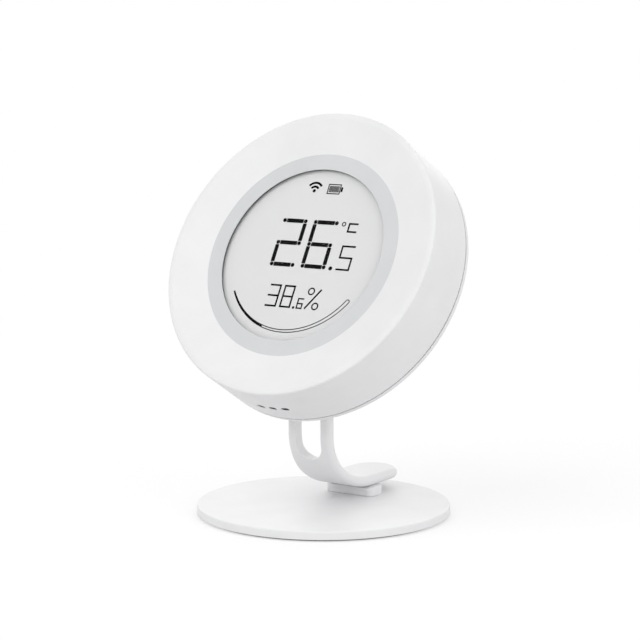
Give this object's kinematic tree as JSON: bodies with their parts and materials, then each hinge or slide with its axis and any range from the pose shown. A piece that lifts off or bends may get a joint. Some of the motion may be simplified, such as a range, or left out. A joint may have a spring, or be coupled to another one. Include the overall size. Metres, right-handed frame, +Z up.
{
  "type": "temperature humidity sensor",
  "caption": "Round display head with a dished bezel and vent slots that tilts on a forked J-shaped arm over a thin round base, and reads room temperature and humidity.",
  "frame": {"origin": "middle of the round base, on the surface that it stands on", "axes": "+Z up, display facing -Y, +X to the right seen from the front"},
  "size_m": [0.066, 0.0554, 0.0868],
  "materials": {
    "white_plastic": "fine satin texture",
    "ring_plastic": "satin",
    "black_foam": "matt",
    "clear_window": "clear, hard coated",
    "display_glass": "reflective display",
    "grey_rubber": "matt",
    "circuit_board": "solder mask",
    "bright_steel": "nickel plated",
    "contact_gold": "gold plated",
    "black_plastic": "moulded",
    "coated_steel": "fine white powder coat"
  },
  "bodies": {
    "stand": {"arm": "white_plastic", "tilt_pin": "bright_steel", "friction_washers": "black_foam", "foot_block": "white_plastic", "base_plate": "coated_steel", "anti_slip_pad": "grey_rubber", "arm_screws": "bright_steel"},
    "head": {"front_housing": "white_plastic", "display_ring": "ring_plastic", "light_gasket": "black_foam", "display_window": "clear_window", "lcd_panel": "display_glass", "lcd_frame": "white_plastic", "zebra_strip": "grey_rubber", "main_board": "circuit_board", "radio_module": "bright_steel", "sensor_chip": "black_plastic", "vent_membrane": "black_foam", "battery_holder": "black_plastic", "contact_positive": "contact_gold", "contact_negative": "contact_gold", "coin_cell": "bright_steel", "tact_switch": "black_plastic", "board_screws": "bright_steel", "rear_cover": "white_plastic", "cover_screws": "bright_steel"},
    "door": {"battery_door": "white_plastic", "cell_pad": "black_foam"},
    "button": {"pair_button": "white_plastic", "switch_plunger": "black_plastic"}
  },
  "joints": [
    {"name": "head_tilt", "type": "hinge", "parent": "stand", "child": "head", "pos_m": [0, -0.00485, 0.0297], "axis": [-1, 0, 0], "range_deg": [-29.2, 40.8]},
    {"name": "door_twist", "type": "hinge", "parent": "head", "child": "door", "pos_m": [0, 0.00443, 0.05327], "axis": [0, 0.8729, -0.4879], "range_deg": [0, 30]},
    {"name": "button_press", "type": "slide", "parent": "head", "child": "button", "axis": [0, -0.8729, 0.4879], "range_m": [0, 0.0005], "stiffness_N_per_m": 3000}
  ]
}
